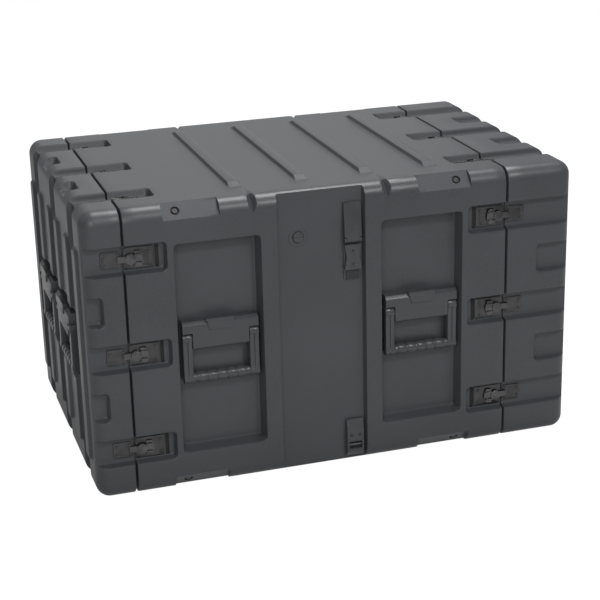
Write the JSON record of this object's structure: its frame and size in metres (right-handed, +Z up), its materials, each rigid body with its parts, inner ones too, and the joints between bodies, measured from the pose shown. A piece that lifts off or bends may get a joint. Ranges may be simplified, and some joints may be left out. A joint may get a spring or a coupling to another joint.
{
  "type": "equipment rack case",
  "caption": "Black moulded shock-mount rack case with a ribbed body, lift-off front and rear lids, twist latches, fold-down handles and a steel rack frame inside.",
  "frame": {"origin": "on the floor plane under the middle of the body, midway between the two lid seams", "axes": "+X towards the deep rear lid, along the case's length; +Y towards the left side as seen from the front lid's end looking in; +Z up"},
  "size_m": [1.027, 0.637, 0.588],
  "materials": {
    "case_shell": "satin",
    "frame_steel": "satin",
    "rail_steel": "satin",
    "rubber": "matte",
    "gasket_rubber": "matte",
    "zinc_steel": "satin",
    "rivet_steel": "satin",
    "black_screw": "satin",
    "handle_plastic": "matte",
    "grip_plastic": "satin",
    "latch_steel": "satin",
    "latch_turn_steel": "satin",
    "valve_plastic": "satin",
    "buckle_plastic": "satin",
    "buckle_steel": "satin",
    "webbing": "matte"
  },
  "bodies": {
    "case_body": {"anchor_bracket": "buckle_plastic", "anchor_pin": "buckle_steel", "body_rivets": "rivet_steel", "body_shell": "case_shell", "latch_bases": "latch_steel", "rack_frame": "frame_steel", "rack_rail_front_left": "rail_steel", "rack_rail_front_right": "rail_steel", "rack_rail_rear_left": "rail_steel", "rack_rail_rear_right": "rail_steel", "rail_screws": "zinc_steel", "shock_mount_bolts": "zinc_steel", "shock_mount_nuts": "zinc_steel", "shock_mounts": "rubber", "side_handle_housing_left_front": "handle_plastic", "side_handle_housing_left_rear": "handle_plastic", "side_handle_housing_right_front": "handle_plastic", "side_handle_housing_right_rear": "handle_plastic", "side_handle_screws": "black_screw", "tie_down_base": "buckle_plastic", "tie_down_webbing": "webbing", "valve_body": "valve_plastic"},
    "front_lid": {"front_handle_housings": "handle_plastic", "front_keepers": "latch_steel", "front_lid_fasteners": "black_screw", "front_lid_gasket": "gasket_rubber", "front_lid_shell": "case_shell"},
    "rear_lid": {"rear_handle_housings": "handle_plastic", "rear_keepers": "latch_steel", "rear_lid_fasteners": "black_screw", "rear_lid_gasket": "gasket_rubber", "rear_lid_shell": "case_shell"},
    "front_handle_left": {"front_handle_left": "grip_plastic"},
    "front_handle_right": {"front_handle_right": "grip_plastic"},
    "latch_front_left_high": {"latch_front_left_high": "latch_turn_steel"},
    "latch_front_left_low": {"latch_front_left_low": "latch_turn_steel"},
    "latch_front_left_mid": {"latch_front_left_mid": "latch_turn_steel"},
    "latch_front_right_high": {"latch_front_right_high": "latch_turn_steel"},
    "latch_front_right_low": {"latch_front_right_low": "latch_turn_steel"},
    "latch_front_right_mid": {"latch_front_right_mid": "latch_turn_steel"},
    "latch_front_top_left": {"latch_front_top_left": "latch_turn_steel"},
    "latch_front_top_mid": {"latch_front_top_mid": "latch_turn_steel"},
    "latch_front_top_right": {"latch_front_top_right": "latch_turn_steel"},
    "latch_rear_left_high": {"latch_rear_left_high": "latch_turn_steel"},
    "latch_rear_left_low": {"latch_rear_left_low": "latch_turn_steel"},
    "latch_rear_left_mid": {"latch_rear_left_mid": "latch_turn_steel"},
    "latch_rear_right_high": {"latch_rear_right_high": "latch_turn_steel"},
    "latch_rear_right_low": {"latch_rear_right_low": "latch_turn_steel"},
    "latch_rear_right_mid": {"latch_rear_right_mid": "latch_turn_steel"},
    "latch_rear_top_left": {"latch_rear_top_left": "latch_turn_steel"},
    "latch_rear_top_mid": {"latch_rear_top_mid": "latch_turn_steel"},
    "latch_rear_top_right": {"latch_rear_top_right": "latch_turn_steel"},
    "rear_handle_left": {"rear_handle_left": "grip_plastic"},
    "rear_handle_right": {"rear_handle_right": "grip_plastic"},
    "side_handle_left_front": {"side_handle_left_front": "grip_plastic"},
    "side_handle_left_rear": {"side_handle_left_rear": "grip_plastic"},
    "side_handle_right_front": {"side_handle_right_front": "grip_plastic"},
    "side_handle_right_rear": {"side_handle_right_rear": "grip_plastic"},
    "tie_down_lever": {"tie_down_lever": "buckle_steel"},
    "valve_knob": {"valve_knob": "valve_plastic"}
  },
  "joints": [
    {"name": "front_lid_slide", "type": "slide", "parent": "case_body", "child": "front_lid", "axis": [-1, 0, 0], "range_m": [0, 0.25]},
    {"name": "rear_lid_slide", "type": "slide", "parent": "case_body", "child": "rear_lid", "axis": [1, 0, 0], "range_m": [0, 0.3]},
    {"name": "side_handle_right_front_hinge", "type": "hinge", "parent": "case_body", "child": "side_handle_right_front", "pos_m": [-0.207, -0.3045, 0.309], "axis": [-1, 0, 0], "range_deg": [0, 90]},
    {"name": "side_handle_right_rear_hinge", "type": "hinge", "parent": "case_body", "child": "side_handle_right_rear", "pos_m": [0.207, -0.3045, 0.309], "axis": [-1, 0, 0], "range_deg": [0, 90]},
    {"name": "side_handle_left_front_hinge", "type": "hinge", "parent": "case_body", "child": "side_handle_left_front", "pos_m": [-0.207, 0.3045, 0.309], "axis": [1, 0, 0], "range_deg": [0, 90]},
    {"name": "side_handle_left_rear_hinge", "type": "hinge", "parent": "case_body", "child": "side_handle_left_rear", "pos_m": [0.207, 0.3045, 0.309], "axis": [1, 0, 0], "range_deg": [0, 90]},
    {"name": "front_handle_right_hinge", "type": "hinge", "parent": "front_lid", "child": "front_handle_right", "pos_m": [-0.467, -0.104, 0.309], "axis": [0, 1, 0], "range_deg": [0, 90]},
    {"name": "front_handle_left_hinge", "type": "hinge", "parent": "front_lid", "child": "front_handle_left", "pos_m": [-0.467, 0.104, 0.309], "axis": [0, 1, 0], "range_deg": [0, 90]},
    {"name": "rear_handle_right_hinge", "type": "hinge", "parent": "rear_lid", "child": "rear_handle_right", "pos_m": [0.533, -0.104, 0.309], "axis": [0, -1, 0], "range_deg": [0, 90]},
    {"name": "rear_handle_left_hinge", "type": "hinge", "parent": "rear_lid", "child": "rear_handle_left", "pos_m": [0.533, 0.104, 0.309], "axis": [0, -1, 0], "range_deg": [0, 90]},
    {"name": "latch_front_right_low_turn", "type": "hinge", "parent": "case_body", "child": "latch_front_right_low", "pos_m": [-0.373, -0.3035, 0.0965], "axis": [0, -1, 0], "range_deg": [0, 180]},
    {"name": "latch_front_right_mid_turn", "type": "hinge", "parent": "case_body", "child": "latch_front_right_mid", "pos_m": [-0.373, -0.3035, 0.29], "axis": [0, -1, 0], "range_deg": [0, 180]},
    {"name": "latch_front_right_high_turn", "type": "hinge", "parent": "case_body", "child": "latch_front_right_high", "pos_m": [-0.373, -0.3035, 0.4835], "axis": [0, -1, 0], "range_deg": [0, 180]},
    {"name": "latch_front_left_low_turn", "type": "hinge", "parent": "case_body", "child": "latch_front_left_low", "pos_m": [-0.373, 0.3035, 0.0965], "axis": [0, 1, 0], "range_deg": [0, 180]},
    {"name": "latch_front_left_mid_turn", "type": "hinge", "parent": "case_body", "child": "latch_front_left_mid", "pos_m": [-0.373, 0.3035, 0.29], "axis": [0, 1, 0], "range_deg": [0, 180]},
    {"name": "latch_front_left_high_turn", "type": "hinge", "parent": "case_body", "child": "latch_front_left_high", "pos_m": [-0.373, 0.3035, 0.4835], "axis": [0, 1, 0], "range_deg": [0, 180]},
    {"name": "latch_front_top_right_turn", "type": "hinge", "parent": "case_body", "child": "latch_front_top_right", "pos_m": [-0.373, -0.208, 0.565], "axis": [0, 0, 1], "range_deg": [0, 180]},
    {"name": "latch_front_top_mid_turn", "type": "hinge", "parent": "case_body", "child": "latch_front_top_mid", "pos_m": [-0.373, 0, 0.565], "axis": [0, 0, 1], "range_deg": [0, 180]},
    {"name": "latch_front_top_left_turn", "type": "hinge", "parent": "case_body", "child": "latch_front_top_left", "pos_m": [-0.373, 0.208, 0.565], "axis": [0, 0, 1], "range_deg": [0, 180]},
    {"name": "latch_rear_right_low_turn", "type": "hinge", "parent": "case_body", "child": "latch_rear_right_low", "pos_m": [0.373, -0.3035, 0.0965], "axis": [0, -1, 0], "range_deg": [0, 180]},
    {"name": "latch_rear_right_mid_turn", "type": "hinge", "parent": "case_body", "child": "latch_rear_right_mid", "pos_m": [0.373, -0.3035, 0.29], "axis": [0, -1, 0], "range_deg": [0, 180]},
    {"name": "latch_rear_right_high_turn", "type": "hinge", "parent": "case_body", "child": "latch_rear_right_high", "pos_m": [0.373, -0.3035, 0.4835], "axis": [0, -1, 0], "range_deg": [0, 180]},
    {"name": "latch_rear_left_low_turn", "type": "hinge", "parent": "case_body", "child": "latch_rear_left_low", "pos_m": [0.373, 0.3035, 0.0965], "axis": [0, 1, 0], "range_deg": [0, 180]},
    {"name": "latch_rear_left_mid_turn", "type": "hinge", "parent": "case_body", "child": "latch_rear_left_mid", "pos_m": [0.373, 0.3035, 0.29], "axis": [0, 1, 0], "range_deg": [0, 180]},
    {"name": "latch_rear_left_high_turn", "type": "hinge", "parent": "case_body", "child": "latch_rear_left_high", "pos_m": [0.373, 0.3035, 0.4835], "axis": [0, 1, 0], "range_deg": [0, 180]},
    {"name": "latch_rear_top_right_turn", "type": "hinge", "parent": "case_body", "child": "latch_rear_top_right", "pos_m": [0.373, -0.208, 0.565], "axis": [0, 0, 1], "range_deg": [0, 180]},
    {"name": "latch_rear_top_mid_turn", "type": "hinge", "parent": "case_body", "child": "latch_rear_top_mid", "pos_m": [0.373, 0, 0.565], "axis": [0, 0, 1], "range_deg": [0, 180]},
    {"name": "latch_rear_top_left_turn", "type": "hinge", "parent": "case_body", "child": "latch_rear_top_left", "pos_m": [0.373, 0.208, 0.565], "axis": [0, 0, 1], "range_deg": [0, 180]},
    {"name": "valve_knob_turn", "type": "hinge", "parent": "case_body", "child": "valve_knob", "pos_m": [-0.044, -0.3035, 0.486], "axis": [0, -1, 0], "range_deg": [0, 90]},
    {"name": "tie_down_lever_hinge", "type": "hinge", "parent": "case_body", "child": "tie_down_lever", "pos_m": [0.065, -0.3105, 0.47], "axis": [1, 0, 0], "range_deg": [0, 110]}
  ]
}
